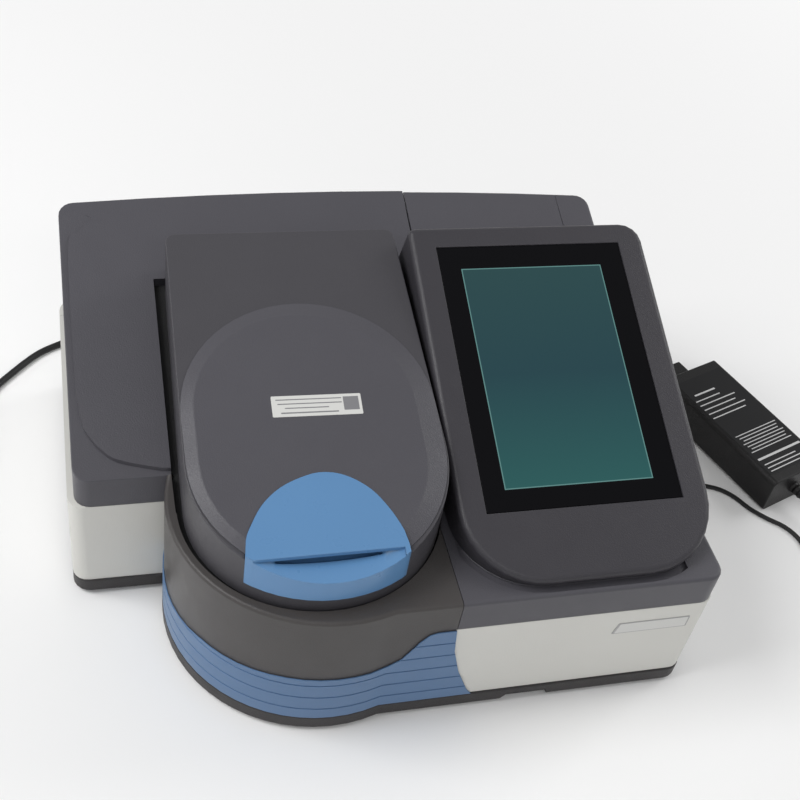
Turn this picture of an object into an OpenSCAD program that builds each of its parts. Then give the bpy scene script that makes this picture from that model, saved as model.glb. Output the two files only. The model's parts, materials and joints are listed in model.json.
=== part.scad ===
/* [Body] */
// Width over the dark top covers
cover_w = 377; // [360:1:400]
// Depth from the rear edge to the right front face
body_depth = 314.6; // [305:0.5:330]
// How far the rear edge bows outwards in the middle
rear_bow = 5.7; // [3:0.1:8]
// Where the front face of the left block stands
left_front_y = -40.3; // [-46:0.1:-38]
// Radius of the round nose in the middle
nose_r = 93.5; // [91:0.5:96]
// Radius of the upright corners
corner_r = 10; // [8:0.5:14]
// Wall thickness of the moulded panels and covers
wall = 3; // [2.4:0.1:3.4]
// How far the left panel stands out past the dark cover
left_proud = 4; // [3:0.1:5]
// How far the right panel stands out past the dark cover
right_proud = 1; // [0.5:0.1:2]
// Height of the rubber feet
foot_h = 3; // [2:0.5:5]
// Diameter of the rubber feet
foot_d = 20; // [14:1:24]
// Height of the base band
base_h = 10.5; // [9:0.5:13]
// Height of the light panels
panel_h = 71; // [65:1:80]
// Height of the dark band of the top covers
band_h = 24.3; // [22:0.1:28]
// Angle at which the top rises to the rear
ramp_angle = 16.6; // [15:0.1:17]
// Step round the raised field of the left cover
plateau_step = 3; // [2:0.1:4]

/* [Lid] */
// Radius of the round front of the lid
lid_r = 76.8; // [74:0.2:77.4]
// Where the lid's rear wall stands, behind the middle of the case
lid_rear_y = 88; // [84:0.5:88.5]
// Angle of the lid's top face
lid_tilt = 13.8; // [12.5:0.1:14.4]
// Height of the lid's top face at its rear edge above the case bottom
lid_rear_h = 187.8; // [184:0.2:190]
// Wall thickness of the lid
lid_wall = 2.5; // [2:0.1:3]
// Radius of the raised face on the lid
disc_r = 65.5; // [60:0.5:68]
// Height of the raised face
disc_h = 4; // [3:0.1:5]
// Gap between the lid and the rim of the nose
lid_gap = 2.2; // [1.6:0.1:2.6]
// How far the lid opens, in degrees
lid_open = 78; // [60:1:82]
// Diameter of the hinge pin
pin_d = 4; // [3:0.1:5]
// Running clearance round pins and shafts
run_gap = 0.05; // [0.03:0.01:0.08]

/* [Display] */
// Angle of the display face
display_tilt = 21.45; // [20:0.05:22.5]
// Width of the display housing
housing_w = 161; // [158:0.5:162]
// Height of the rear edge of the display face above the case bottom
housing_rear_h = 200.3; // [199:0.1:204]
// Width of the glass
glass_w = 126; // [118:0.5:130]
// Length of the glass along the slope
glass_l = 179.5; // [172:0.5:184]
// Thickness of the glass
glass_t = 1.8; // [1.2:0.1:2.5]
// Width of the lit picture area
screen_w = 96; // [90:0.5:100]
// Length of the lit picture area
screen_l = 150; // [144:0.5:154]

/* [Sample compartment] */
// Width of the sample tub
tub_w = 90; // [80:1:92]
// Length of the sample tub
tub_l = 108; // [96:1:110]
// Floor of the sample tub above the table
tub_floor_z = 40; // [36:1:44]
// Height of the light beam above the table
beam_z = 62; // [58:0.5:66]
// Inner width of the cuvette well
well_w = 12.6; // [12.5:0.1:13]

/* [Optics] */
// Thickness of the optical bench plate
bench_t = 4; // [3:0.5:5]
// Radius of the pinion on the grating motor
pinion_r = 6; // [5:0.25:7]
// Radius of the toothed sector on the grating table
sector_r = 24; // [22:0.5:26]
// Radius of the filter wheel
filter_r = 20; // [17:0.5:21]

/* [Power lead] */
// Width of the flat low-voltage lead
dc_d = 3.8; // [3.4:0.1:4]
// Diameter of the mains lead
mains_d = 5; // [4.6:0.1:5.4]
// Length of the mains adapter
adapter_l = 125; // [110:1:140]
// Width of the mains adapter
adapter_w = 58; // [50:1:64]
// Height of the mains adapter
adapter_h = 31; // [26:1:36]

/* [Hidden] */

dark = [0.29, 0.29, 0.31];
warm = [0.32, 0.30, 0.29];
light = [0.74, 0.73, 0.71];
blue = [0.38, 0.50, 0.63];
cyan_blue = [0.39, 0.57, 0.74];

// Levels
base_z = foot_h;
panel_z = base_z + base_h;
cover_z = panel_z + panel_h;
shelf_z = cover_z + band_h;
rise = tan(ramp_angle);
ramp_y = -48;
cover_drop = plateau_step + wall;

// Plan of the case: the left side, the right side, the rear and the front faces
left_x = -cover_w / 2 + 1.5;
right_x = cover_w / 2 + 1.5;
rear_y = 159.5;
front_y = rear_y - body_depth;
nose = [-42.1, front_y + 89.3];
lid_c = [-49, front_y + 83.6];
rim_r = lid_r + lid_gap;
rim = [lid_c[0] - 1, lid_c[1] + 1];
seam = 0.4;
base_out = 1.2;

function arc(c, r, a0, a1, n) =
    [for (i = [0:n]) let (a = a0 + (a1 - a0) * i / n) [c[0] + r * cos(a), c[1] + r * sin(a)]];

// The rear edge is a shallow bow between the two rear corners
function rear_line(x0, x1, y, n) =
    [for (i = [1:n - 1]) let (t = i / n) [x0 + (x1 - x0) * t, y + rear_bow * 4 * t * (1 - t)]];

// Outline of the case, inset by d; the sides may stand out by dl and dr
function body_plan(d, dl = 0, dr = 0) = let (
    xl = left_x - dl, xr = right_x + dr, yb = rear_y - rear_bow, r = nose_r - d,
    a1 = 180 - asin((left_front_y + d - nose[1]) / r),
    a2 = 360 - asin((nose[1] - front_y - d) / r),
    rc = corner_r, ri = corner_r - d)
    concat(
        arc(nose, r, a1, a2, 20),
        arc([xr - rc, front_y + rc], ri, 270, 360, 5),
        arc([xr - rc, yb - rc], ri, 0, 90, 5),
        rear_line(xr - rc, xl + rc, yb - d, 8),
        arc([xl + rc, yb - rc], ri, 90, 180, 5),
        arc([xl + rc, left_front_y + rc], ri, 180, 270, 5));

module plan(d, z0, z1, dl = 0, dr = 0) {
    translate([0, 0, z0]) linear_extrude(z1 - z0) polygon(body_plan(d, dl, dr));
}

function top_z(y) = shelf_z + max(0, y - ramp_y) * rise;

// Everything under the sloping top, lowered by drop
module under_top(drop, z0 = 0, x0 = -250, x1 = 250) {
    translate([x0, 0, 0]) rotate([90, 0, 90]) linear_extrude(x1 - x0)
        polygon([[-200, z0], [200, z0], [200, top_z(200) - drop], [ramp_y, shelf_z - drop],
            [-200, shelf_z - drop]]);
}

module box(x0, x1, y0, y1, z0, z1) {
    translate([x0, y0, z0]) cube([x1 - x0, y1 - y0, z1 - z0]);
}

module rod(d, h) { cylinder(d = d, h = h, $fn = 40); }

// A lying rod that starts at p and runs along +X
module rod_x(p, d, h) { translate(p) rotate([0, 90, 0]) rod(d, h); }

// A lying rod that starts at p and runs along +Y
module rod_y(p, d, h) { translate(p) rotate([-90, 0, 0]) rod(d, h); }

// Base and feet
foot_places = [[left_x + 22, -20], [left_x + 22, 130], [right_x - 25, front_y + 25], [right_x - 25, 130],
    [nose[0], front_y + 25]];
pillar_places = [[-150, 30], [-150, 126], [18, 14], [18, 126]];
floor_z = base_z + wall;

module base_tray() {
    color(warm) difference() {
        union() {
            difference() {
                plan(-base_out, base_z, panel_z, left_proud - base_out, 0);
                plan(wall, floor_z, panel_z + 1);
            }
            for (p = foot_places)
                translate([p[0], p[1], base_z]) rod(14, base_h);
        }
        front_notch();
    }
}

// Shallow finger notch in the front of the base band
module front_notch() {
    translate([0, front_y - base_out + 2.5, base_z]) rotate([90, 0, 0]) linear_extrude(5)
        polygon([[64.5, -1], [97.5, -1], [97, 5.8], [72, 5.8]]);
}

module rubber_feet() {
    color([0.12, 0.12, 0.12]) for (p = foot_places)
        translate([p[0], p[1], 0]) cylinder(d1 = foot_d - 3, d2 = foot_d, h = foot_h, $fn = 48);
}

// Light panels round the case
left_end_x = -126;
module panel_ring() {
    difference() {
        plan(0, panel_z, cover_z, left_proud, right_proud);
        plan(wall, panel_z - 1, cover_z - wall, left_proud, right_proud);
        plan(wall, cover_z - wall - 1, cover_z + 1);
    }
}

rear_split_y = 138;
nose_end_x = 24;
rim_low_z = 40;
module left_panel() {
    color(light) intersection() {
        panel_ring();
        box(-250, left_end_x, left_front_y - 0.1, rear_split_y - seam, 0, 100);
    }
}

module right_panel() {
    color(light) intersection() {
        panel_ring();
        box(nose_end_x, 250, -250, rear_split_y - seam, 0, 100);
    }
}

band_z0 = panel_z;
band_top = 53.6;
band_proud = 0.8;

// Backing of the blue band, below the rim
module nose_panel() {
    color(warm) intersection() {
        plan(0, panel_z, rim_low_z - seam);
        box(-250, nose_end_x - seam, -250, rim_split - seam, 0, 100);
        difference() {
            plan(-1, 0, 100);
            plan(wall, -1, 101);
        }
    }
}

// The band wraps the nose and sweeps up where it meets the right front face
module blue_band() {
    color(blue) difference() {
        union() {
            intersection() {
                difference() {
                    plan(-band_proud - 0.2, band_z0, cover_z, 0, 0);
                    plan(-0.2, band_z0 - 1, cover_z + 1);
                }
                translate([0, left_front_y - 1.2, 0]) rotate([90, 0, 0]) linear_extrude(200)
                    polygon(concat([[-137, band_z0 - 1], [45.9, band_z0 - 1], [41.4, 19], [32.3, 41],
                        [26.1, 63.6], [24, cover_z - 0.3], [13, cover_z - 0.3]],
                        [[7.9, 82.4], [2.9, 76.3], [-1.9, 68], [-6.3, 60.6], [-14, 55],
                        [-25, band_top], [-75, band_top], [-119, 51], [-137, 44.5]]));
            }
        }
        for (i = [0:4])
            translate([0, 0, band_z0 + 9.4 + 12.3 * i])
                difference() {
                    plan(-band_proud - 1, 0, 1.2);
                    plan(-0.5, -1, 3);
                }
    }
}

module rear_panel() {
    color(light) difference() {
        intersection() {
            panel_ring();
            box(-250, 250, rear_split_y, 250, 0, 100);
        }
        port_window(0);
    }
}

module port_window(inset) {
    box(switch_x - 24 + inset, usb_xs[1] + usb_w + 12 - inset, rear_split_y, 180,
        port_z - 16 + inset, port_z + 16 - inset);
}

// Plate in the rear wall with the holes for the switch, the jack and the USB sockets
module port_plate() {
    color([0.1, 0.1, 0.1]) difference() {
        intersection() {
            panel_ring();
            port_window(0.3);
        }
        for (x = usb_xs) box(x, x + usb_w, rear_split_y, 170, port_z - 3, port_z + 5);
        rod_y([jack_x, rear_split_y, port_z], jack_nose_d + 0.6, 40);
        box(switch_x - switch_w / 2, switch_x + switch_w / 2, rear_split_y, 170,
            port_z - switch_h / 2, port_z + switch_h / 2);
    }
}

// Top covers
well_l = -129.5;
well_r = 29;
well_back = lid_rear_y + 5.2;
rim_split = left_front_y - 0.9;
bay_l = 50.5;
bay_r = 165.3;
bay_front = 97;

module cover_solid(drop) {
    intersection() {
        plan(0, cover_z, 220);
        under_top(drop);
    }
}

module cover_hollow() {
    intersection() {
        plan(wall, cover_z - 1, 220);
        under_top(cover_drop);
    }
}

// The open trough that the lid stands in
module lid_well(grow = 0) {
    translate([rim[0], rim[1], 0]) cylinder(r = rim_r + grow, h = 250, $fn = 96);
    box(well_l - grow, well_r + grow, rim[1], well_back + grow, 0, 250);
}

plateau = concat([[-129.5, -37.5], [-135, -37]], [[-160, -30], [-170, -22], [-175, -15], [-179, -7],
    [-181, 8], [-182, 26], [-182, 118], [-175, 131], [-166, 140], [-150, 147], [48, 152],
    [48, 90], [-129.5, 90]]);

module left_cover() {
    color(dark) difference() {
        intersection() {
            union() {
                cover_solid(plateau_step);
                intersection() {
                    cover_solid(0);
                    linear_extrude(300) polygon(plateau);
                }
            }
            union() {
                box(-250, well_l, rim_split, 250, 0, 250);
                box(-250, bay_l - seam, well_back, 250, 0, 250);
            }
        }
        cover_hollow();
    }
}

// The rim round the nose goes down behind the upper edge of the blue band
module nose_rim() {
    color(warm) difference() {
        intersection() {
            union() {
                cover_solid(0);
                plan(0, rim_low_z, cover_z + 1);
            }
            union() {
                box(-250, nose_end_x, -250, rim_split - seam, cover_z, 250);
                box(-250, nose_end_x - seam, -250, rim_split - seam, 0, cover_z + 1);
            }
        }
        cover_hollow();
        plan(wall, 0, cover_z);
        lid_well();
    }
}

module right_cover() {
    color(dark) difference() {
        intersection() {
            cover_solid(0);
            union() {
                box(nose_end_x + seam, 250, -250, rim[1], 0, 250);
                box(well_r, 250, rim[1] - 1, well_back, 0, 250);
                box(bay_l, 250, well_back - 1, 250, 0, 250);
            }
        }
        cover_hollow();
        lid_well();
        box(bay_l - 1, bay_r, bay_front, 250, 0, 250);
        display_wire_hole();
        housing_channel();
    }
}

module display_wire_hole() { translate([110, -20, 100]) rod(24, 80); }

// Tray under the lid, resting below the covers, with the opening of the sample tub
deck_t = 2.5;
tub_x = -50;
tub_y = -50;
module sample_deck() {
    color([0.13, 0.13, 0.14]) difference() {
        intersection() {
            under_top(cover_drop, 0);
            union() {
                translate([rim[0], rim[1], 0]) cylinder(r = rim_r + 4, h = 250, $fn = 96);
                box(well_l - 6, well_r + 6, rim[1], well_back + 6, 0, 250);
            }
            plan(wall, cover_z, 220);
        }
        under_top(cover_drop + deck_t, -10);
        box(tub_x - tub_w / 2, tub_x + tub_w / 2, tub_y - tub_l / 2, tub_y + tub_l / 2, 0, 250);
    }
}

// Blank cover of the accessory bay; it lifts off
module bay_cover() {
    color(dark) difference() {
        intersection() {
            cover_solid(0);
            box(bay_l + seam, bay_r - seam, bay_front + seam, 250, 0, 250);
        }
        intersection() {
            plan(wall, cover_z - 1, 220);
            under_top(wall);
            box(bay_l + seam + wall, bay_r - seam - wall, bay_front + seam + wall, 250, 0, 250);
        }
    }
}

// Display housing, in the frame of its face: origin on the rear edge, Z out of the face
housing_l = 29.5;
housing_rear_y = 72.5;
housing_rear_z = base_z + housing_rear_h;
face_l = 239.6;
face_r_rear = 14;
face_r_front = 48;
glass_x = 46.3;
glass_back = 15.6;
screen_in = 13.8;
recess = 0.8;

module at_face() {
    translate([0, housing_rear_y, housing_rear_z]) rotate([display_tilt, 0, 0]) children();
}

function face_plan(d) = let (x0 = housing_l, x1 = housing_l + housing_w) concat(
    arc([x0 + face_r_front, -face_l + face_r_front], face_r_front - d, 180, 270, 8),
    arc([x1 - face_r_front, -face_l + face_r_front], face_r_front - d, 270, 360, 8),
    arc([x1 - face_r_rear, -face_r_rear], face_r_rear - d, 0, 90, 4),
    arc([x0 + 5, -5], 5 - min(d, 4.5), 90, 180, 3));

module face_slab(d, z0, z1) {
    translate([0, 0, z0]) linear_extrude(z1 - z0) polygon(face_plan(d));
}

module above_cover(gap) {
    difference() {
        box(-50, 250, -200, 160, 60, 260);
        under_top(-gap, -10);
    }
}

// The sunk seat of the glass
module glass_seat(grow, z0, z1) {
    translate([glass_x - grow, -glass_back - glass_l - grow, z0])
        cube([glass_w + 2 * grow, glass_l + 2 * grow, z1 - z0]);
}

// Narrow channel in the cover round the front of the housing's foot
channel_w = 4.5;
channel_deep = 2.2;
module housing_channel() {
    intersection() {
        difference() {
            at_face() face_slab(-channel_w, -140, 0);
            at_face() face_slab(0, -141, 1);
        }
        box(housing_l + 1, 168, -200, rim[1], shelf_z - channel_deep, shelf_z + 2);
    }
}

module display_housing() {
    color([0.24, 0.24, 0.26]) difference() {
        intersection() {
            at_face() face_slab(0, -140, 0);
            above_cover(0);
        }
        intersection() {
            at_face() face_slab(wall, -150, -wall - 2);
            above_cover(-1);
        }
        at_face() glass_seat(0.3, -recess - glass_t, 2);
        at_face() glass_seat(-5, -wall - 3, 1);
    }
}

module touch_glass() {
    color([0.05, 0.05, 0.06]) at_face() glass_seat(0, -recess - glass_t, -recess);
}

module lcd_panel() {
    color([0.2, 0.36, 0.38]) at_face()
        translate([glass_x + screen_in, -glass_back - 15.8 - screen_l, -recess - glass_t - 4.2])
            cube([screen_w, screen_l, 4.2]);
}

module display_board() {
    color([0.1, 0.35, 0.2]) at_face()
        translate([glass_x + screen_in, -glass_back - 15.8 - screen_l, -recess - glass_t - 5.8])
            cube([screen_w, screen_l, 1.6]);
}

// Lid: plan outline with a round front
lid_rear_z = base_z + lid_rear_h;
lid_edge_l = -122.8;
lid_edge_r = 24.3;
lid_corner = 6;
function lid_plan(d) = concat(
    arc(lid_c, lid_r - d, 180, 360, 30),
    [[lid_c[0] + lid_r - d - 0.4, lid_c[1] + 20]],
    arc([lid_edge_r - lid_corner, lid_rear_y - lid_corner], lid_corner - d, 0, 90, 4),
    arc([lid_edge_l + lid_corner, lid_rear_y - lid_corner], lid_corner - d, 90, 180, 4));

function lid_top(y) = lid_rear_z - (lid_rear_y - y) * tan(lid_tilt);

module lid_block(d, top_drop, floor_gap) {
    intersection() {
        translate([0, 0, 90]) linear_extrude(120) polygon(lid_plan(d));
        translate([-150, 0, 0]) rotate([90, 0, 90]) linear_extrude(220)
            polygon([[-160, shelf_z - cover_drop + floor_gap],
                [ramp_y, shelf_z - cover_drop + floor_gap],
                [100, top_z(100) - cover_drop + floor_gap],
                [100, lid_top(100) - top_drop], [-160, lid_top(-160) - top_drop]]);
    }
}

skirt_gap = 3.2;
module lid_shell() {
    color([0.2, 0.2, 0.22]) difference() {
        lid_block(0, 0, skirt_gap);
        lid_block(lid_wall, lid_wall, -20);
        handle_front_zone();
    }
}

// The raised oval on the lid's top, in the tilted frame of the top face
module at_lid_top() {
    translate([0, lid_rear_y, lid_rear_z]) rotate([lid_tilt, 0, 0]) children();
}

function oval(cx, r, y_rear, y_front, n) = concat(
    arc([cx, (y_rear - lid_rear_y) / cos(lid_tilt)], r, 0, 180, n),
    arc([cx, (y_front - lid_rear_y) / cos(lid_tilt)], r, 180, 360, n));

bevel_h = 0.6;
module lid_face() {
    color([0.33, 0.33, 0.35]) difference() {
        at_lid_top() hull() {
            linear_extrude(bevel_h) polygon(oval(lid_c[0], lid_r - 1.2, -41.5, lid_c[1], 30));
            translate([0, 0, disc_h - bevel_h]) linear_extrude(bevel_h)
                polygon(oval(lid_c[0] - 3, disc_r, -42.5, lid_c[1] - 2.5, 30));
        }
        handle_prism();
    }
}

// Plan of the handle: a shield with a rounded apex that widens to the front
handle_side = [for (q = [[-99, -100], [-98.5, -59.5], [-97.2, -51], [-94, -43.8], [-86, -31.5],
    [-75, -22.2], [-62, -16.6], [-50, -14.4], [-37, -17.3], [-24, -26.5], [-15, -39.5],
    [-9, -53.4], [-7.4, -62.5], [-7, -100]]) [q[0], lid_c[1] + q[1]]];
handle_proud = 1.2;
handle_rise = 0.8;
handle_low = 9.6;
handle_front_y = lid_c[1] - 50.5;

// Finger groove: a bowed ledge in front of the lip, and a pocket under the lip
lip_y = lid_c[1] - 63;
lip_t = 2.6;
groove_deep = 9;
groove_bow = 180;
groove_x = -52.5;
groove_low = 3.7;

module handle_prism() {
    translate([0, 0, shelf_z + handle_low]) linear_extrude(80) polygon(handle_side);
}

module handle_front_zone() {
    intersection() {
        handle_prism();
        box(-200, 100, -200, handle_front_y, 0, 300);
    }
}

module finger_groove() {
    edge_z = lid_top(lid_c[1] - lid_r) + disc_h + handle_rise - groove_low;
    intersection() {
        translate([groove_x, lid_c[1] - 100, edge_z + groove_bow]) rotate([-90, 0, 0])
            cylinder(r = groove_bow, h = 80, $fn = 200);
        box(-94.8, -10.5, -250, lip_y + groove_deep, 0, 300);
        union() {
            box(-200, 100, -250, lip_y, 0, 300);
            difference() {
                box(-200, 100, lip_y - 1, lip_y + groove_deep, 0, 300);
                above_lip();
            }
        }
    }
    difference() {
        box(groove_x - 30, groove_x + 30, lip_y, lip_y + groove_deep, edge_z - 4, 300);
        above_lip();
    }
}

module above_lip() {
    at_lid_top() translate([-200, -300, disc_h + handle_rise - lip_t]) cube([300, 600, 100]);
}

// The front of the handle goes through the lid's wall and holds the finger groove
module lid_handle() {
    color(cyan_blue) difference() {
        intersection() {
            handle_prism();
            lid_block(-handle_proud, -disc_h - handle_rise, 0);
        }
        difference() {
            lid_block(-handle_proud - 1, 0, -20);
            handle_front_zone();
        }
        finger_groove();
    }
}

module lid_liner() {
    color([0.1, 0.1, 0.1]) intersection() {
        difference() {
            lid_block(lid_wall, lid_wall, 0);
            lid_block(lid_wall, lid_wall + 2, -20);
        }
        box(-200, 100, handle_front_y, 60, 0, 300);
    }
}

seal_w = 4;
seal_h = 3;
module lid_seal() {
    color([0.15, 0.15, 0.16]) difference() {
        intersection() {
            difference() {
                under_top(cover_drop - 0.3 - seal_h, 0);
                under_top(cover_drop - 0.3, -10);
            }
            box(tub_x - tub_w / 2 - 1 - seal_w, tub_x + tub_w / 2 + 1 + seal_w,
                tub_y - tub_l / 2 - 1 - seal_w, tub_y + tub_l / 2 + 1 + seal_w, 50, 250);
        }
        box(tub_x - tub_w / 2 - 1, tub_x + tub_w / 2 + 1,
            tub_y - tub_l / 2 - 1, tub_y + tub_l / 2 + 1, 50, 250);
    }
}

// Hinge behind the lid
hinge_y = lid_rear_y + 7;
hinge_z = top_z(lid_rear_y + 7) + 9;
knuckle_d = pin_d + 6;
hinge_half = 55;
knuckle_w = 16;
module lid_knuckles() {
    color([0.2, 0.2, 0.22]) for (s = [-1, 1]) difference() {
        union() {
            rod_x([tub_x + s * hinge_half - knuckle_w / 2, hinge_y, hinge_z], knuckle_d, knuckle_w);
            translate([tub_x + s * hinge_half - knuckle_w / 2, lid_rear_y, hinge_z])
                cube([knuckle_w, hinge_y - lid_rear_y, knuckle_d / 2]);
        }
        rod_x([tub_x + s * hinge_half - 20, hinge_y, hinge_z], pin_d + 2 * run_gap, 40);
    }
}

module hinge_brackets() {
    color([0.3, 0.3, 0.32]) for (s = [-1, 1], t = [-1, 1]) difference() {
        union() {
            rod_x([tub_x + s * hinge_half + t * (knuckle_w / 2 + 3.3) - 3, hinge_y, hinge_z],
                knuckle_d, 6);
            difference() {
                box(tub_x + s * hinge_half + t * (knuckle_w / 2 + 3.3) - 3,
                    tub_x + s * hinge_half + t * (knuckle_w / 2 + 3.3) + 3,
                    hinge_y - knuckle_d / 2, hinge_y + knuckle_d / 2, hinge_z - 14, hinge_z);
                under_top(0, -10);
            }
        }
        rod_x([tub_x + s * hinge_half - 40, hinge_y, hinge_z], pin_d + 2 * run_gap, 80);
    }
}

module hinge_pin() {
    color("silver") for (s = [-1, 1])
        rod_x([tub_x + s * hinge_half - knuckle_w / 2 - 7, hinge_y, hinge_z], pin_d, knuckle_w + 14);
}

// Sample compartment
tub_t = 1.5;
tub_x0 = tub_x - tub_w / 2;
tub_x1 = tub_x + tub_w / 2;
tub_y0 = tub_y - tub_l / 2;
tub_y1 = tub_y + tub_l / 2;
beam_d = 12;
module sample_tub() {
    color([0.12, 0.12, 0.12]) difference() {
        intersection() {
            box(tub_x0, tub_x1, tub_y0, tub_y1, tub_floor_z - tub_t, 250);
            under_top(cover_drop + deck_t - 1, 0);
        }
        box(tub_x0 + tub_t, tub_x1 - tub_t, tub_y0 + tub_t, tub_y1 - tub_t, tub_floor_z, 250);
        rod_y([tub_x, tub_y0 - 5, beam_z], beam_d, tub_l + 10);
    }
}

holder_w = 30;
holder_h = 42;
module cuvette_holder() {
    color([0.25, 0.25, 0.26]) difference() {
        union() {
            box(tub_x - holder_w / 2, tub_x + holder_w / 2, tub_y - holder_w / 2,
                tub_y + holder_w / 2, tub_floor_z, tub_floor_z + holder_h);
            box(tub_x - 34, tub_x + 34, tub_y - 20, tub_y + 20, tub_floor_z, tub_floor_z + 4);
        }
        box(tub_x - well_w / 2, tub_x + well_w / 2, tub_y - well_w / 2, tub_y + well_w / 2,
            tub_floor_z + 4, 200);
        rod_y([tub_x, tub_y - 30, beam_z], 6, 60);
    }
}

module beam_windows() {
    color([0.7, 0.8, 0.85]) for (y = [tub_y0 - 2, tub_y1])
        rod_y([tub_x, y, beam_z], beam_d + 6, 2);
}

// Optical bench and the pillars that carry it
bench_z = 30;
bench_y0 = tub_y1 + 3;
bench_y1 = 138;
module optical_bench() {
    color([0.6, 0.6, 0.62]) difference() {
        box(-172, 24, bench_y0, bench_y1, bench_z, bench_z + bench_t);
        for (p = pillar_places) translate([p[0], p[1], bench_z - 1]) rod(4.4, bench_t + 2);
        translate([pinion_x, grating_p[1], bench_z - 1]) rod(motor_hole_d, bench_t + 2);
    }
}

module bench_pillars() {
    color("silver") for (p = pillar_places) {
        translate([p[0], p[1], floor_z]) rod(10, bench_z - floor_z);
        translate([p[0], p[1], bench_z]) rod(4, bench_t + 2);
    }
}

bench_top = bench_z + bench_t;
lamp_p = [-152, 62];
module lamp_house() {
    color([0.5, 0.5, 0.52]) difference() {
        box(lamp_p[0] - 16, lamp_p[0] + 16, lamp_p[1] - 16, lamp_p[1] + 16, bench_top, beam_z + 22);
        box(lamp_p[0] - 14, lamp_p[0] + 14, lamp_p[1] - 14, lamp_p[1] + 14, bench_top + 2,
            beam_z + 30);
        rod_x([lamp_p[0] + 10, lamp_p[1], beam_z], 14, 10);
    }
}

module lamp_bulb() {
    color([0.9, 0.9, 0.85]) translate([lamp_p[0], lamp_p[1], bench_top + 2]) {
        rod(16, 12);
        translate([0, 0, 12]) rod(9, 14);
        translate([0, 0, 26]) sphere(d = 9, $fn = 24);
    }
}

lens_x = lamp_p[0] + 26;
module condenser_lens() {
    color([0.7, 0.8, 0.85]) {
        rod_x([lens_x, lamp_p[1], beam_z], 16, 4);
        translate([lens_x, lamp_p[1] - 11, bench_top]) cube([4, 22, beam_z - bench_top - 8]);
    }
}

wheel_x = lens_x + 12;
wheel_axis_z = beam_z + 12;
motor_x = wheel_x + 6;
module filter_motor() {
    color([0.45, 0.45, 0.47]) {
        rod_x([motor_x, lamp_p[1], wheel_axis_z], 4, 2);
        difference() {
            box(motor_x + 2, motor_x + 16, lamp_p[1] + 4 - 14, lamp_p[1] - 4 + 14, wheel_axis_z - 9,
                wheel_axis_z + 9);
        }
        rod_x([wheel_x - 3, lamp_p[1], wheel_axis_z], 3, motor_x - wheel_x + 3);
        box(motor_x + 2, motor_x + 16, lamp_p[1] + 12, lamp_p[1] + 16, bench_top, wheel_axis_z + 9);
        box(motor_x + 2, motor_x + 16, lamp_p[1] + 10, lamp_p[1] + 12, wheel_axis_z - 9,
            wheel_axis_z + 9);
    }
}

module filter_wheel() {
    color([0.3, 0.3, 0.32]) difference() {
        rod_x([wheel_x, lamp_p[1], wheel_axis_z], 2 * filter_r, 2);
        rod_x([wheel_x - 1, lamp_p[1], wheel_axis_z], 3 + 2 * run_gap, 4);
        for (i = [0:5])
            translate([wheel_x - 1, lamp_p[1], wheel_axis_z]) rotate([60 * i, 0, 0])
                translate([0, 0, -12]) rotate([0, 90, 0]) rod(8, 4);
    }
}

// Monochromator: a case round the turning grating, with an entrance and an exit slit
mono_x0 = -84;
mono_x1 = 14;
mono_y0 = bench_y0 + 14;
mono_y1 = bench_y1 - 4;
mono_t = 3;
grating_p = [-50, 112];
module monochromator_case() {
    color([0.35, 0.35, 0.37]) difference() {
        box(mono_x0, mono_x1, mono_y0, mono_y1, bench_top, beam_z + 26);
        box(mono_x0 + mono_t, mono_x1 - mono_t, mono_y0 + mono_t, mono_y1 - mono_t,
            bench_top + mono_t, beam_z + 30);
        rod_x([mono_x0 - 2, lamp_p[1], beam_z], 8, 8);
        rod_y([tub_x, mono_y0 - 2, beam_z], 8, 8);
        translate([grating_p[0], grating_p[1], bench_top - 1]) rod(6 + 2 * run_gap, 6);
        translate([pinion_x, grating_p[1], bench_top - 1]) rod(motor_hole_d, 6);
    }
}

module slit_plates() {
    color([0.15, 0.15, 0.15]) {
        difference() {
            box(mono_x0 - 1, mono_x0, lamp_p[1] - 8, lamp_p[1] + 8, beam_z - 10, beam_z + 10);
            box(mono_x0 - 2, mono_x0 + 1, lamp_p[1] - 0.5, lamp_p[1] + 0.5, beam_z - 4, beam_z + 4);
        }
        difference() {
            box(tub_x - 8, tub_x + 8, mono_y0 - 1, mono_y0, beam_z - 10, beam_z + 10);
            box(tub_x - 0.5, tub_x + 0.5, mono_y0 - 2, mono_y0 + 1, beam_z - 4, beam_z + 4);
        }
    }
}

// The grating table turns on a pivot and carries a toothed sector, driven by the motor's pinion
tooth = 0.8;
mesh_gap = 0.35;
tooth_mid = 0.275;
motor_hole_d = 5;
module gear(r, n, t) {
    linear_extrude(t) polygon([for (i = [0:n - 1], q = [[0, -1], [0.2, 1], [0.35, 1], [0.55, -1]])
        let (a = 360 * (i + q[0] - tooth_mid) / n, k = r + q[1] * tooth) [k * cos(a), k * sin(a)]]);
}

sector_z = bench_top + mono_t + 0.5;
pinion_n = 12;
sector_n = round(pinion_n * sector_r / pinion_r);
pinion_x = grating_p[0] + sector_r + pinion_r + mesh_gap;
module grating_table() {
    color([0.72, 0.6, 0.3]) difference() {
        union() {
            translate([grating_p[0], grating_p[1], sector_z]) {
                intersection() {
                    gear(sector_r, sector_n, 3);
                    linear_extrude(4) polygon([[0, 0], [40, -30], [40, 30]]);
                }
                rod(14, 12);
                translate([-14, -5, 8]) cube([28, 10, 4]);
            }
        }
        translate([grating_p[0], grating_p[1], sector_z - 1]) rod(6 + 2 * run_gap, 9);
    }
}

module grating() {
    color([0.75, 0.8, 0.85]) translate([grating_p[0] - 12, grating_p[1] - 4, sector_z + 12])
        cube([24, 6, 20]);
}

module grating_pivot() {
    color("silver") translate([grating_p[0], grating_p[1], bench_top]) {
        rod(6, sector_z + 6 - bench_top);
    }
}

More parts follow.
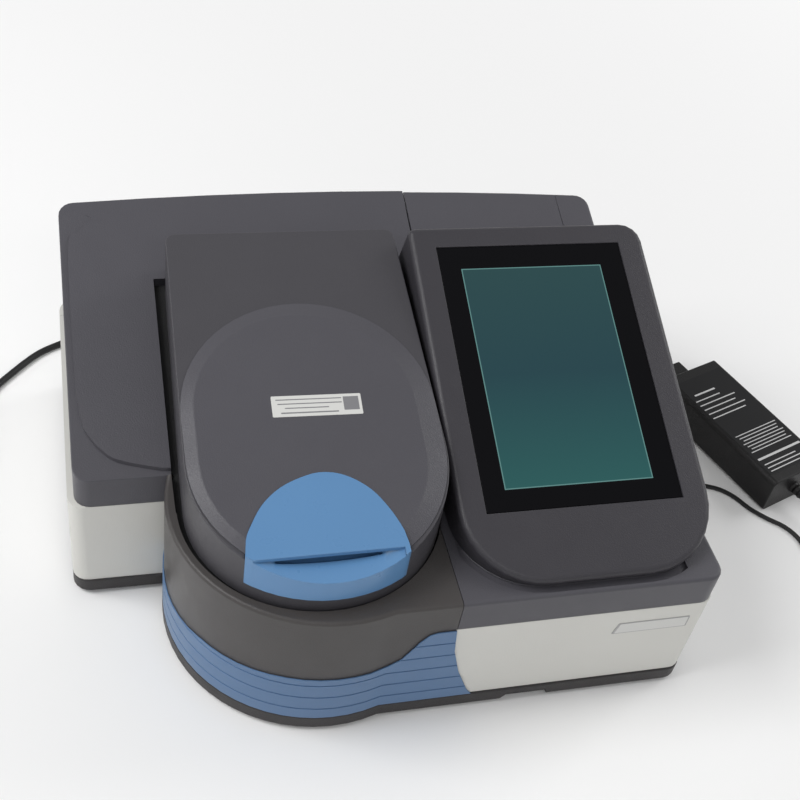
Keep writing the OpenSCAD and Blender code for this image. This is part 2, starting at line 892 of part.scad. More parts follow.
module grating_motor() {
    color([0.45, 0.45, 0.47]) translate([pinion_x, grating_p[1], 0]) {
        translate([0, 0, bench_z - 14]) rod(22, 14);
        translate([0, 0, bench_z]) rod(3, sector_z + 4 - bench_z);
    }
}

module motor_pinion() {
    color("gold") difference() {
        translate([pinion_x, grating_p[1], sector_z]) rotate([0, 0, 180 / pinion_n])
            gear(pinion_r, pinion_n, 3);
        translate([pinion_x, grating_p[1], sector_z - 1]) rod(3 + 2 * run_gap, 5);
    }
}

// Detector in the nose, in line with the beam
det_y = tub_y0 - 12;
module detector_board() {
    color([0.1, 0.35, 0.2]) {
        box(tub_x - 18, tub_x + 18, det_y - 1.6, det_y, floor_z + 6, beam_z + 16);
        box(tub_x - 18, tub_x + 18, det_y - 6, det_y + 4, floor_z, floor_z + 6);
    }
}

module photodiode() {
    color([0.7, 0.7, 0.72]) rod_y([tub_x, det_y, beam_z], 9, det_y_gap());
}

function det_y_gap() = tub_y0 - 2.3 - det_y;

// Electronics
module main_board() {
    color([0.1, 0.35, 0.2]) {
        box(60, 176, -110, 100, floor_z + 6, floor_z + 7.6);
        for (x = [66, 170], y = [-104, 94]) translate([x, y, floor_z]) rod(6, 6);
        box(90, 120, -30, 0, floor_z + 7.6, floor_z + 10);
        box(80, 100, 30, 50, floor_z + 7.6, floor_z + 16);
    }
}

// Ports in the right part of the rear wall
port_z = 36;
port_y = rear_y - 1.8;
usb_xs = [50, 72];
usb_w = 14;
module port_block() {
    color([0.2, 0.2, 0.2]) for (x = usb_xs) difference() {
        box(x + 0.3, x + usb_w - 0.3, port_y - 18, port_y, port_z - 2.7, port_z + 4.7);
        box(x + 1.1, x + usb_w - 1.1, port_y - 14, port_y + 1, port_z - 1.9, port_z + 3.9);
    }
}

jack_x = 20;
jack_nose_d = 8.4;
jack_bore = 5.6;
jack_y = rear_y - wall - 0.4;
module dc_jack() {
    color([0.1, 0.1, 0.1]) difference() {
        union() {
            box(jack_x - 5.5, jack_x + 5.5, jack_y - 14, jack_y, port_z - 5.5, port_z + 5.5);
            rod_y([jack_x, jack_y - 1, port_z], jack_nose_d, wall + 1.2);
        }
        rod_y([jack_x, jack_y - 9, port_z], jack_bore, 20);
    }
}

switch_x = -20;
switch_w = 21;
switch_h = 14;
switch_y = rear_y + 0.2;
rocker_w = 15.6;
rocker_pin = 2.4;
module switch_frame() {
    color([0.12, 0.12, 0.12]) difference() {
        union() {
            box(switch_x - switch_w / 2 - 1.5, switch_x + switch_w / 2 + 1.5, switch_y,
                switch_y + 1.5, port_z - switch_h / 2 - 1.5, port_z + switch_h / 2 + 1.5);
            box(switch_x - switch_w / 2 + 0.3, switch_x + switch_w / 2 - 0.3, switch_y - 18,
                switch_y, port_z - switch_h / 2 + 0.3, port_z + switch_h / 2 - 0.3);
        }
        box(switch_x - rocker_w / 2 - 0.4, switch_x + rocker_w / 2 + 0.4, switch_y - 8,
            switch_y + 3, port_z - 5.9, port_z + 5.9);
        rod_x([switch_x - 9.8, switch_y - 3, port_z], rocker_pin + 2 * run_gap, 19.6);
    }
}

module power_rocker() {
    color([0.08, 0.08, 0.08]) {
        translate([switch_x - rocker_w / 2, switch_y - 3, port_z]) rotate([90, 0, 90])
            linear_extrude(rocker_w)
                polygon([[-2.2, -4.2], [2.6, -4.4], [1.9, 0], [3.4, 4.4], [-2.2, 4.2]]);
        rod_x([switch_x - rocker_w / 2 - 1.6, switch_y - 3, port_z], rocker_pin, rocker_w + 3.2);
    }
}

module bench_nuts() {
    color("silver") for (p = pillar_places) translate([p[0], p[1], bench_top]) difference() {
        cylinder(d = 8, h = 3, $fn = 6);
        translate([0, 0, -1]) rod(4.2, 6);
    }
}

// Mains adapter on the table, in its own frame: origin at the near left lower corner
adapter_p = [316, -24.5];
adapter_turn = 20;
lead_z = 14;
relief_l = 24;
connector_x = 20;
connector_l = 22;
module at_adapter() {
    translate([adapter_p[0], adapter_p[1], 0]) rotate([0, 0, adapter_turn]) children();
}

function adapter_point(x, y, z) = [
    adapter_p[0] + x * cos(adapter_turn) - y * sin(adapter_turn),
    adapter_p[1] + x * sin(adapter_turn) + y * cos(adapter_turn), z];

module adapter_case() {
    c = 3;
    color([0.1, 0.1, 0.11]) at_adapter() translate([0, adapter_l, 0]) rotate([90, 0, 0])
        linear_extrude(adapter_l) polygon([[c, 0], [adapter_w - c, 0], [adapter_w, c],
            [adapter_w, adapter_h - c], [adapter_w - c, adapter_h], [c, adapter_h],
            [0, adapter_h - c], [0, c]]);
}

module mains_connector() {
    color([0.07, 0.07, 0.07]) at_adapter() {
        translate([connector_x - 13, adapter_l, 4]) cube([26, connector_l - 6, 20]);
        translate([connector_x, adapter_l + connector_l - 6, lead_z]) rotate([-90, 0, 0])
            cylinder(d1 = 12, d2 = 8, h = 6, $fn = 32);
    }
}

module lead_relief() {
    color([0.06, 0.06, 0.06]) at_adapter() translate([adapter_w / 2, 0, lead_z])
        rotate([90, 0, 0]) rotate_extrude($fn = 32) polygon(concat([[0, 0]],
            [for (i = [0:5], k = [0:1])
                [5 - 0.4 * i - 0.9 * k, i * relief_l / 6 + k * relief_l / 12]],
            [[2.6, relief_l], [0, relief_l]]));
}

// Leads: tubes swept along hand-picked points
function unit(v) = v / norm(v);
function tangent(p, i) = unit(p[min(i + 1, len(p) - 1)] - p[max(i - 1, 0)]);
function ring(c, t, r) = let (s = unit(cross([0, 0, 1], t)), u = cross(t, s))
    [for (k = [0:7]) c + r * (cos(45 * k) * s + sin(45 * k) * u)];

module tube(p, d) {
    n = len(p);
    polyhedron(
        [for (i = [0:n - 1]) each ring(p[i], tangent(p, i), d / 2)],
        concat([[for (k = [0:7]) k], [for (k = [7:-1:0]) 8 * (n - 1) + k]],
            [for (i = [0:n - 2], k = [0:7])
                [8 * i + k, 8 * i + 8 + k, 8 * i + 8 + (k + 1) % 8, 8 * i + (k + 1) % 8]]));
}

dc_start = adapter_point(adapter_w / 2, -relief_l, lead_z);
plug_l = 24;
plug_end = rear_y + 1 + plug_l;
dc_route = concat([dc_start, adapter_point(adapter_w / 2, -relief_l - 8, lead_z - 1)],
    [[357, -60, 8], [361, -70, 4], [365, -86, 2], [364, -102, 2], [355, -114, 2], [343, -114, 2],
    [335, -104, 2], [333, -88, 2], [334, -70, 2], [333, -54, 2], [327, -42, 2], [317, -33, 2],
    [307, -22, 2], [300, -10, 2], [291, -1, 2], [280, 4, 2], [266, 9, 2], [253, 17, 2],
    [243, 30, 2], [236, 48, 2], [232, 70, 2], [229, 95, 2], [227, 120, 2], [223, 146, 2],
    [215, 170, 2], [200, 190, 2], [180, 203, 2], [156, 211, 2], [130, 216, 2], [104, 219, 2],
    [78, 221, 2], [54, 222, 2], [27, 222, 2], [0, 221, 2], [-30, 219, 2], [-60, 216, 2],
    [-88, 211, 2], [-108, 204, 2], [-119, 195, 2], [-119, 185, 2], [-108, 178, 2], [-86, 175, 2],
    [-62, 176, 2], [-40, 182, 3], [-20, 192, 6], [-4, 202, 12], [10, 206, 21], [18, 202, 30]],
    [[jack_x, plug_end + 8, port_z - 0.5], [jack_x, plug_end, port_z]]);

module dc_lead() { color([0.06, 0.06, 0.06]) tube(dc_route, dc_d); }

module dc_plug() {
    color([0.06, 0.06, 0.06]) {
        rod_y([jack_x, rear_y + 1, port_z], 10, plug_l - 8);
        translate([jack_x, rear_y + plug_l - 7, port_z]) rotate([-90, 0, 0])
            cylinder(d1 = 8, d2 = 5, h = 8, $fn = 32);
        rod_y([jack_x, jack_y - 8, port_z], jack_bore - 0.4, rear_y + 1 - jack_y + 8);
    }
}

mains_start = adapter_point(connector_x, adapter_l + connector_l, lead_z);
mains_route = concat([mains_start, adapter_point(connector_x, adapter_l + connector_l + 8, lead_z - 1)],
    [[280, 137, 11], [274, 147, 7], [267, 162, 3.5],
    [257, 178, 2.6], [243, 196, 2.6], [225, 212, 2.6], [204, 225, 2.6], [180, 234, 2.6],
    [150, 240, 2.6], [118, 244, 2.6], [84, 246, 2.6], [48, 247, 2.6], [12, 247, 2.6],
    [-26, 245, 2.6], [-62, 242, 2.6], [-98, 236, 2.6], [-132, 228, 2.6], [-162, 217, 2.6],
    [-188, 202, 2.6], [-210, 189, 2.6], [-230, 168, 2.6], [-244, 150, 2.6], [-249.7, 134, 2.6],
    [-251.2, 126.5, 2.6]]);
coil_c = [-291, 118];
coil_r = 28.5;
coil_half = 10;
coil_h = 10.4;
plug_p = [-327, 160, 10];
mains_tail = [[-327, 137.2, 7.8], [-327, 148, 9], [-327, 155, 10], plug_p];

module mains_lead() {
    color([0.06, 0.06, 0.06]) {
        tube(mains_route, mains_d);
        tube(mains_tail, mains_d);
    }
}

module mains_coil() {
    color([0.06, 0.06, 0.06]) translate([coil_c[0], coil_c[1], 0]) rotate_extrude($fn = 64)
        translate([coil_r, 0]) polygon([[-coil_half, 1], [-coil_half + 1, 0], [coil_half - 1, 0],
            [coil_half, 1], [coil_half, coil_h - 1], [coil_half - 1, coil_h],
            [-coil_half + 1, coil_h], [-coil_half, coil_h - 1]]);
}

module mains_plug() {
    color([0.06, 0.06, 0.06]) translate(plug_p) rotate([0, 0, 180]) {
        rotate([90, 0, 0]) cylinder(d1 = 8, d2 = 12, h = 10, $fn = 32);
        translate([-12, -38, -9]) cube([24, 28, 18]);
        for (x = [-6.35, 6.35]) translate([x - 0.75, -55, -3.2]) cube([1.5, 17, 6.4]);
    }
}

base_tray();
rubber_feet();
left_panel();
nose_panel();
blue_band();
right_panel();
rear_panel();
left_cover();
nose_rim();
right_cover();
sample_deck();
bay_cover();
display_housing();
touch_glass();
lcd_panel();
display_board();
lid_shell();
lid_face();
lid_handle();
lid_liner();
lid_seal();
lid_knuckles();
hinge_brackets();
hinge_pin();
sample_tub();
cuvette_holder();
beam_windows();
optical_bench();
bench_pillars();
lamp_house();
lamp_bulb();
condenser_lens();
filter_motor();
filter_wheel();
monochromator_case();
slit_plates();
grating_table();
grating();
grating_pivot();
grating_motor();
motor_pinion();
detector_board();
photodiode();
main_board();
port_plate();
port_block();
dc_jack();
switch_frame();
power_rocker();
bench_nuts();
adapter_case();
mains_connector();
lead_relief();
dc_lead();
dc_plug();
mains_lead();
mains_coil();
mains_plug();
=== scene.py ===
import json
import math

import bmesh
import bpy
from mathutils import Matrix, Vector


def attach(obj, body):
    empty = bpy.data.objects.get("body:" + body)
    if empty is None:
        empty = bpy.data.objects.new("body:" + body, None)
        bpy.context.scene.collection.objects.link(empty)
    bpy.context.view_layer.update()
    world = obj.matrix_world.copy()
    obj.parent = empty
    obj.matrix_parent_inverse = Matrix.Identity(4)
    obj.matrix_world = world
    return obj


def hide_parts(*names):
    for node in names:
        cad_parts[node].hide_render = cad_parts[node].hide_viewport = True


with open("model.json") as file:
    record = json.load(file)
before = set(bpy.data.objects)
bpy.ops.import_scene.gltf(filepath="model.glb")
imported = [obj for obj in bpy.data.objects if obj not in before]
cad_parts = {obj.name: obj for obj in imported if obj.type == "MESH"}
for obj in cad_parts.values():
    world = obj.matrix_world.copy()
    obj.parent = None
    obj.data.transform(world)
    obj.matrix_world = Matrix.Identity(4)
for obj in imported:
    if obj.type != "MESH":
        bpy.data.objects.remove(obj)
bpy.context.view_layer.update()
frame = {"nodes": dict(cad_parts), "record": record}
MM = 0.001

# In the frame of the instrument. Lengths are in millimetres and angles in radians, apart from
# the values that their own comment gives in metres and the names that end in DEG

# Camera: where it stands and how it is turned
CAMERA_AT = (-174.9, -529.1, 657.7)
CAMERA_TURN = -0.3527
CAMERA_TIP = 0.7620
CAMERA_ROLL = 0.1884
CAMERA_LENS = 54.23

# The adapter and the two leads
ADAPTER_AT = (316, -24.5)
ADAPTER_TURN = math.radians(20)
ADAPTER_L = 125
ADAPTER_W = 58
ADAPTER_H = 31
LEAD_Z = 14
RELIEF_L = 24
CONNECTOR_X = 20
CONNECTOR_L = 22
MAINS_D = 5
DC_D = 3.8
JACK_X = 20
PORT_Z = 36
REAR_Y = 159.5
PLUG_L = 24
COIL_AT = (-291, 118)
COIL_OUT = 36
COIL_IN = 21
LAID_Z = 2
LAID_DROP = 0.7
LEAD_START = 8

# The case, the lid and the display, as the solids have them
LEFT_X = -187
RIGHT_X = 190
LEFT_FRONT_Y = -40.3
FRONT_Y = -155.1
REAR_CORNER_Y = 153.8
REAR_BOW = 5.7
CORNER_R = 10
NOSE_AT = (-42.1, -65.8)
NOSE_R = 93.5
SEAM_X = 24
RAMP_Y = -48
RAMP = math.tan(math.radians(16.6))
STEP_H = 3
SHELF_Z = 108.8
LID_REAR = (88, 190.8)
LID_TILT = math.radians(13.8)
LID_FACE_H = 4
HOUSING_REAR = (72.5, 203.3)
HOUSING_TILT = math.radians(21.45)
ARCH = [(x, y - 71.5) for x, y in (
    (-98.5, -59.5), (-97.2, -51), (-94, -43.8), (-86, -31.5), (-75, -22.2), (-62, -16.6),
    (-50, -14.4), (-37, -17.3), (-24, -26.5), (-15, -39.5), (-9, -53.4), (-7.4, -62.5))]
HANDLE_OUT = 4.8
FIELD = [(-129.5, -37.5), (-135, -37), (-160, -30), (-170, -22), (-175, -15), (-179, -7),
         (-181, 8), (-182, 26), (-182, 118), (-175, 131), (-166, 140), (-150, 147), (48, 152)]
FIELD_END_X = 48
FIELD_END_TO = 49.8
FADE_Y = (100, 147)
LEDGE_Y = -134
LEDGE_Z = 118.8
DISPLAY_X = 30
PAST_RIGHT_X = 250
FIELD_REAR_Y = 80
LID_FOOT_TOP = 60
SCREEN_EDGE = 0.7

# What counts as on the outline, near a height, below the shelf, or a sharp edge
OUTLINE_NEAR = 1.2
HEIGHT_NEAR = 0.2
RIM_DROP = 4.5
OUTSIDE = -9
SEAM_NEAR = 0.7
LINE_NEAR = 0.05
BOW_CUTS = 6
SHARP = math.radians(33)
LID_FACE_SHARP = math.radians(15)
SMOOTH_DEG = 35
LID_FACE_SMOOTH_DEG = 14
GLASS_X = (46.3, 172.3)
GLASS_V = (-195.1, -15.6)
SCREEN_X = (60.1, 156.1)
SCREEN_V = (-181.4, -31.4)


def adapter_point(x, y, z):
    c, s = math.cos(ADAPTER_TURN), math.sin(ADAPTER_TURN)
    return (ADAPTER_AT[0] + x * c - y * s, ADAPTER_AT[1] + x * s + y * c, z)


DC_ROUTE = [adapter_point(ADAPTER_W / 2, -RELIEF_L, LEAD_Z),
            adapter_point(ADAPTER_W / 2, -RELIEF_L - LEAD_START, LEAD_Z - 1),
            (357, -60, 8), (361, -70, 4), (365, -86, 2), (364, -102, 2), (355, -114, 2),
            (343, -114, 2), (335, -104, 2), (333, -88, 2), (334, -70, 2), (333, -54, 2),
            (327, -42, 2), (317, -33, 2), (307, -22, 2), (300, -10, 2), (291, -1, 2), (280, 4, 2),
            (266, 9, 2), (253, 17, 2), (243, 30, 2), (236, 48, 2), (232, 70, 2), (229, 95, 2),
            (227, 120, 2), (223, 146, 2), (215, 170, 2), (200, 190, 2), (180, 203, 2),
            (156, 211, 2), (130, 216, 2), (104, 219, 2), (78, 221, 2), (54, 222, 2), (27, 222, 2),
            (0, 221, 2), (-30, 219, 2), (-60, 216, 2), (-88, 211, 2), (-108, 204, 2),
            (-119, 195, 2), (-119, 185, 2), (-108, 178, 2), (-86, 175, 2), (-62, 176, 2),
            (-40, 182, 3), (-20, 192, 6), (-4, 202, 12), (10, 206, 21), (18, 202, 30),
            (JACK_X, REAR_Y + 1 + PLUG_L + LEAD_START, PORT_Z - 0.5),
            (JACK_X, REAR_Y + 1 + PLUG_L, PORT_Z)]
MAINS_ROUTE = [adapter_point(CONNECTOR_X, ADAPTER_L + CONNECTOR_L, LEAD_Z),
               adapter_point(CONNECTOR_X, ADAPTER_L + CONNECTOR_L + LEAD_START, LEAD_Z - 1),
               (280, 137, 11), (274, 147, 7), (267, 162, 3.5), (257, 178, 2.6), (243, 196, 2.6),
               (225, 212, 2.6), (204, 225, 2.6), (180, 234, 2.6), (150, 240, 2.6),
               (118, 244, 2.6), (84, 246, 2.6), (48, 247, 2.6), (12, 247, 2.6), (-26, 245, 2.6),
               (-62, 242, 2.6), (-98, 236, 2.6), (-132, 228, 2.6), (-162, 217, 2.6),
               (-188, 202, 2.6), (-210, 189, 2.6), (-230, 168, 2.6), (-244, 150, 2.6),
               (-252.3, 132, 2.6)]
MAINS_TAIL = [(-327, 137.2, 7.8), (-327, 148, 9), (-327, 155, 10), (-327, 160, 10)]
LEAD_PIECES = ["dc_plug", "lead_relief", "mains_connector", "mains_plug"]


def deselect():
    bpy.ops.object.select_all(action="DESELECT")


def take(obj):
    """Makes obj the only selected and active object."""
    deselect()
    obj.hide_set(False)
    obj.select_set(True)
    bpy.context.view_layer.objects.active = obj


def camera():
    data = bpy.data.cameras.new("camera")
    cam = bpy.data.objects.new("camera", data)
    bpy.context.scene.collection.objects.link(cam)
    a, t, r = CAMERA_TURN, CAMERA_TIP, CAMERA_ROLL
    right = Vector((math.cos(a), math.sin(a), 0))
    ahead = Vector((-math.sin(a) * math.cos(t), math.cos(a) * math.cos(t), -math.sin(t)))
    up = right.cross(ahead)
    side = right * math.cos(r) + up * math.sin(r)
    top = -right * math.sin(r) + up * math.cos(r)
    place = Matrix((side, top, -ahead)).transposed().to_4x4()
    place.translation = Vector(CAMERA_AT) * MM
    cam.matrix_world = place
    data.lens = CAMERA_LENS
    data.sensor_width = 36
    data.clip_end = 20
    bpy.context.scene.camera = cam


def between(a, b, c, d, t):
    """A point on the smooth curve from b to c."""
    return 0.5 * (2 * b + (c - a) * t + (2 * a - 5 * b + 4 * c - d) * t * t
                  + (3 * b - a - 3 * c + d) * t * t * t)


def smooth_path(points, step):
    """A curve through the points, with a new point about every step."""
    pts = [Vector(p) for p in points]
    out = []
    for i in range(len(pts) - 1):
        a = pts[max(i - 1, 0)]
        b, c = pts[i], pts[i + 1]
        d = pts[min(i + 2, len(pts) - 1)]
        n = max(2, round((c - b).length / step))
        for k in range(n):
            out.append(between(a, b, c, d, k / n))
    out.append(pts[-1])
    return out


def coil_turns():
    """The wound part of the mains lead: three turns inwards, then three outwards on top."""
    start, layer = math.radians(-26), 2.6
    turns = [(3.0, COIL_OUT, COIL_IN, 0, 0), (0.25, COIL_IN, COIL_IN, 0, 1),
             (3 + 64 / 360, COIL_IN, COIL_OUT, 1, 1)]
    out, angle = [], start
    for count, r0, r1, z0, z1 in turns:
        n = round(count * 28)
        for k in range(n):
            t = k / n
            s = t * t * (3 - 2 * t)
            r = r0 + (r1 - r0) * t
            a = angle - 2 * math.pi * count * t
            out.append(Vector((COIL_AT[0] + r * math.cos(a), COIL_AT[1] + r * math.sin(a),
                               layer + (z0 + (z1 - z0) * s) * (MAINS_D + 0.1))))
        angle -= 2 * math.pi * count
    return out


def sweep(name, path, profile):
    """A mesh tube: the profile carried along the path, lying flat."""
    mesh = bpy.data.meshes.new(name)
    bm = bmesh.new()
    rings = []
    for i, p in enumerate(path):
        t = (path[min(i + 1, len(path) - 1)] - path[max(i - 1, 0)]).normalized()
        s = Vector((0, 0, 1)).cross(t).normalized()
        u = t.cross(s)
        rings.append([bm.verts.new((p + s * x + u * y) * MM) for x, y in profile])
    n = len(profile)
    for a, b in zip(rings, rings[1:]):
        for k in range(n):
            bm.faces.new((a[k], a[(k + 1) % n], b[(k + 1) % n], b[k]))
    bm.faces.new(list(reversed(rings[0])))
    bm.faces.new(rings[-1])
    bmesh.ops.recalc_face_normals(bm, faces=bm.faces)
    bm.to_mesh(mesh)
    bm.free()
    obj = bpy.data.objects.new(name, mesh)
    bpy.context.scene.collection.objects.link(obj)
    take(obj)
    bpy.ops.object.shade_smooth_by_angle(angle=math.radians(50))
    return obj


def circle_profile(r, n):
    return [(r * math.cos(2 * math.pi * k / n), r * math.sin(2 * math.pi * k / n)) for k in range(n)]


def twin_profile(width, thick):
    """Two round cores side by side, joined by a thin web."""
    r = thick / 2
    c = width / 2 - r
    right = [(c + r * math.cos(a), r * math.sin(a)) for a in
             [math.radians(d) for d in range(-135, 136, 30)]]
    left = [(-x, -y) for x, y in right]
    return right + left


def leads():
    flat = [(x, y, z - LAID_DROP if z == LAID_Z else z) for x, y, z in DC_ROUTE]
    dc_path = smooth_path(flat, 4)
    dc = sweep("dc_twin_lead", dc_path, twin_profile(DC_D, 2.2))
    finish_piece(dc, "case", "black_plastic", lead_black, "dc_lead")
    plug, relief, connector, mains_plug = [dress(node) for node in LEAD_PIECES]
    mains_path = smooth_path(MAINS_ROUTE, 5)[:-1] + coil_turns() + smooth_path(MAINS_TAIL, 5)
    mains = sweep("mains_flex", mains_path, circle_profile(MAINS_D / 2, 14))
    finish_piece(mains, "case", "black_plastic", lead_black, "mains_lead", "mains_coil")


# Materials


def nodes_of(name):
    mat = bpy.data.materials.new(name)
    mat.use_nodes = True
    tree = mat.node_tree
    shader = tree.nodes["Principled BSDF"]
    coords = tree.nodes.new("ShaderNodeTexCoord")
    return mat, tree, shader, coords


def noise(tree, coords, scale, detail=3.0, rough=0.55):
    n = tree.nodes.new("ShaderNodeTexNoise")
    n.inputs["Scale"].default_value = scale
    n.inputs["Detail"].default_value = detail
    n.inputs["Roughness"].default_value = rough
    tree.links.new(coords.outputs["Object"], n.inputs["Vector"])
    return n


def ramp(tree, source, low, high, out_low, out_high):
    r = tree.nodes.new("ShaderNodeMapRange")
    r.inputs["From Min"].default_value = low
    r.inputs["From Max"].default_value = high
    r.inputs["To Min"].default_value = out_low
    r.inputs["To Max"].default_value = out_high
    tree.links.new(source, r.inputs["Value"])
    return r


def moulded(name, color, rough=0.5, grain=1300, bump=0.35, vary=0.06, spec=0.34):
    """Moulded plastic: a fine leather-like grain, slightly uneven gloss and tone."""
    mat, tree, shader, coords = nodes_of(name)
    grain_cells = tree.nodes.new("ShaderNodeTexVoronoi")
    grain_cells.feature = "SMOOTH_F1"
    grain_cells.inputs["Scale"].default_value = grain
    tree.links.new(coords.outputs["Object"], grain_cells.inputs["Vector"])
    fine = noise(tree, coords, grain * 2.2)
    mix = tree.nodes.new("ShaderNodeMath")
    mix.operation = "ADD"
    tree.links.new(grain_cells.outputs["Distance"], mix.inputs[0])
    tree.links.new(fine.outputs["Fac"], mix.inputs[1])
    bumps = tree.nodes.new("ShaderNodeBump")
    bumps.inputs["Strength"].default_value = bump
    bumps.inputs["Distance"].default_value = 0.0003
    tree.links.new(mix.outputs[0], bumps.inputs["Height"])
    tree.links.new(bumps.outputs["Normal"], shader.inputs["Normal"])
    broad = noise(tree, coords, 9, 2.0)
    tone = tree.nodes.new("ShaderNodeMixRGB")
    tone.inputs["Color1"].default_value = [c * (1 - vary) for c in color] + [1]
    tone.inputs["Color2"].default_value = [min(c * (1 + vary), 1) for c in color] + [1]
    tree.links.new(broad.outputs["Fac"], tone.inputs["Fac"])
    tree.links.new(tone.outputs["Color"], shader.inputs["Base Color"])
    worn = noise(tree, coords, 60, 4.0)
    gloss = ramp(tree, worn.outputs["Fac"], 0.3, 0.7, rough - 0.04, rough + 0.04)
    tree.links.new(gloss.outputs["Result"], shader.inputs["Roughness"])
    shader.inputs["Specular IOR Level"].default_value = spec
    return mat


def metal(name, color, rough=0.35):
    mat, tree, shader, coords = nodes_of(name)
    shader.inputs["Metallic"].default_value = 1.0
    brushed = noise(tree, coords, 300, 3.0)
    gloss = ramp(tree, brushed.outputs["Fac"], 0.3, 0.7, rough - 0.08, rough + 0.08)
    tree.links.new(gloss.outputs["Result"], shader.inputs["Roughness"])
    tone = tree.nodes.new("ShaderNodeMixRGB")
    tone.inputs["Color1"].default_value = [c * 0.92 for c in color] + [1]
    tone.inputs["Color2"].default_value = list(color) + [1]
    tree.links.new(brushed.outputs["Fac"], tone.inputs["Fac"])
    tree.links.new(tone.outputs["Color"], shader.inputs["Base Color"])
    return mat


def finish_piece(obj, body, slot, material, *nodes):
    obj.data.materials.clear()
    obj.data.materials.append(material)
    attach(obj, body)
    if nodes:
        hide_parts(*nodes)
    return obj


BODY_OF = {n: b for b, members in frame["record"]["behaviour"]["bodies"].items() for n in members}
SLOT_OF = {s["node"]: s["material_slot"] for s in frame["record"]["subparts"]}

charcoal = moulded("charcoal_grain", (0.078, 0.076, 0.088), 0.36)
rim_grey = moulded("rim_grain", (0.062, 0.057, 0.056), 0.34)
foot_grey = moulded("foot_grain", (0.034, 0.031, 0.032), 0.45)
lid_dark = moulded("lid_grain", (0.062, 0.060, 0.068), 0.38)
housing_dark = moulded("housing_grain", (0.043, 0.041, 0.048), 0.38)
pale = moulded("pale_grain", (0.66, 0.655, 0.62), 0.5, bump=0.2, vary=0.03)
band_blue = moulded("band_blue", (0.104, 0.188, 0.335), 0.38, bump=0.05)
handle_blue = moulded("handle_blue", (0.105, 0.245, 0.46), 0.3, bump=0.04, spec=0.5)
lead_black = moulded("lead_black", (0.014, 0.014, 0.015), 0.42, grain=1500, bump=0.05)
adapter_black = moulded("adapter_black", (0.010, 0.0095, 0.010), 0.42, bump=0.3, spec=0.3)
tub_black = moulded("tub_black", (0.012, 0.012, 0.013), 0.6)
rubber = moulded("rubber_black", (0.015, 0.015, 0.015), 0.75)
board_green = moulded("board_green", (0.01, 0.08, 0.03), 0.4)
steel = metal("steel", (0.56, 0.56, 0.57))
alloy = metal("alloy", (0.62, 0.62, 0.64), 0.42)
brass = metal("brass", (0.72, 0.52, 0.22), 0.3)


def glossy(name, color, rough, coat=0.0, spec=0.5):
    mat, tree, shader, coords = nodes_of(name)
    smear = noise(tree, coords, 25, 3.0)
    gloss = ramp(tree, smear.outputs["Fac"], 0.35, 0.75, rough, rough + 0.05)
    tree.links.new(gloss.outputs["Result"], shader.inputs["Roughness"])
    shader.inputs["Base Color"].default_value = list(color) + [1]
    shader.inputs["Coat Weight"].default_value = coat
    shader.inputs["Specular IOR Level"].default_value = spec
    return mat


black_glass = glossy("black_glass", (0.006, 0.007, 0.009), 0.05, 0.3)
clear_glass = glossy("clear_glass", (0.6, 0.68, 0.7), 0.03)
screen_lit = glossy("screen_lit", (0.03, 0.09, 0.10), 0.1)

label_white = glossy("label_white", (0.64, 0.64, 0.62), 0.4)
label_black = glossy("label_black", (0.010, 0.010, 0.011), 0.35, spec=0.25)
print_grey = glossy("print_grey", (0.20, 0.20, 0.21), 0.5)
print_pale = glossy("print_pale", (0.60, 0.60, 0.60), 0.5)
plate_rim = glossy("plate_rim", (0.36, 0.36, 0.36), 0.35)
plate_pale = glossy("plate_pale", (0.64, 0.64, 0.62), 0.3)


def screen_on():
    """Black glass with the lit teal picture area behind it, bare of any picture."""
    mat, tree, shader, coords = nodes_of("screen_glass")
    shader.inputs["Base Color"].default_value = (0.004, 0.004, 0.005, 1)
    shader.inputs["Roughness"].default_value = 0.06
    shader.inputs["Specular IOR Level"].default_value = 0.08
    place = tree.nodes.new("ShaderNodeMapping")
    place.vector_type = "TEXTURE"
    place.inputs["Location"].default_value = (0, HOUSING_REAR[0] * MM, HOUSING_REAR[1] * MM)
    place.inputs["Rotation"].default_value = (HOUSING_TILT, 0, 0)
    tree.links.new(coords.outputs["Object"], place.inputs["Vector"])
    parts = tree.nodes.new("ShaderNodeSeparateXYZ")
    tree.links.new(place.outputs["Vector"], parts.inputs["Vector"])

    def work(operation, a, b):
        node = tree.nodes.new("ShaderNodeMath")
        node.operation = operation
        for socket, value in zip(node.inputs, (a, b)):
            if isinstance(value, float):
                socket.default_value = value
            else:
                tree.links.new(value, socket)
        return node.outputs[0]

    def within(inset):
        halves = []
        for axis, (low, high) in (("X", SCREEN_X), ("Y", SCREEN_V)):
            off = work("SUBTRACT", parts.outputs[axis], (low + high) / 2 * MM)
            halves.append(work("LESS_THAN", work("ABSOLUTE", off, 0.0),
                               ((high - low) / 2 - inset) * MM))
        return work("MULTIPLY", *halves)

    along = ramp(tree, parts.outputs["Y"], SCREEN_V[0] * MM, SCREEN_V[1] * MM, 0, 1)
    hues = tree.nodes.new("ShaderNodeValToRGB")
    hues.color_ramp.elements[0].color = (0.024, 0.100, 0.098, 1)
    hues.color_ramp.elements[1].color = (0.024, 0.066, 0.070, 1)
    hues.color_ramp.elements.new(0.5).color = (0.019, 0.058, 0.070, 1)
    tree.links.new(along.outputs["Result"], hues.inputs["Fac"])
    edge = tree.nodes.new("ShaderNodeMixRGB")
    edge.inputs["Color1"].default_value = (0.11, 0.24, 0.23, 1)
    tree.links.new(within(SCREEN_EDGE), edge.inputs["Fac"])
    tree.links.new(hues.outputs["Color"], edge.inputs["Color2"])
    tree.links.new(edge.outputs["Color"], shader.inputs["Emission Color"])
    tree.links.new(within(0.0), shader.inputs["Emission Strength"])
    return mat


screen_glass = screen_on()

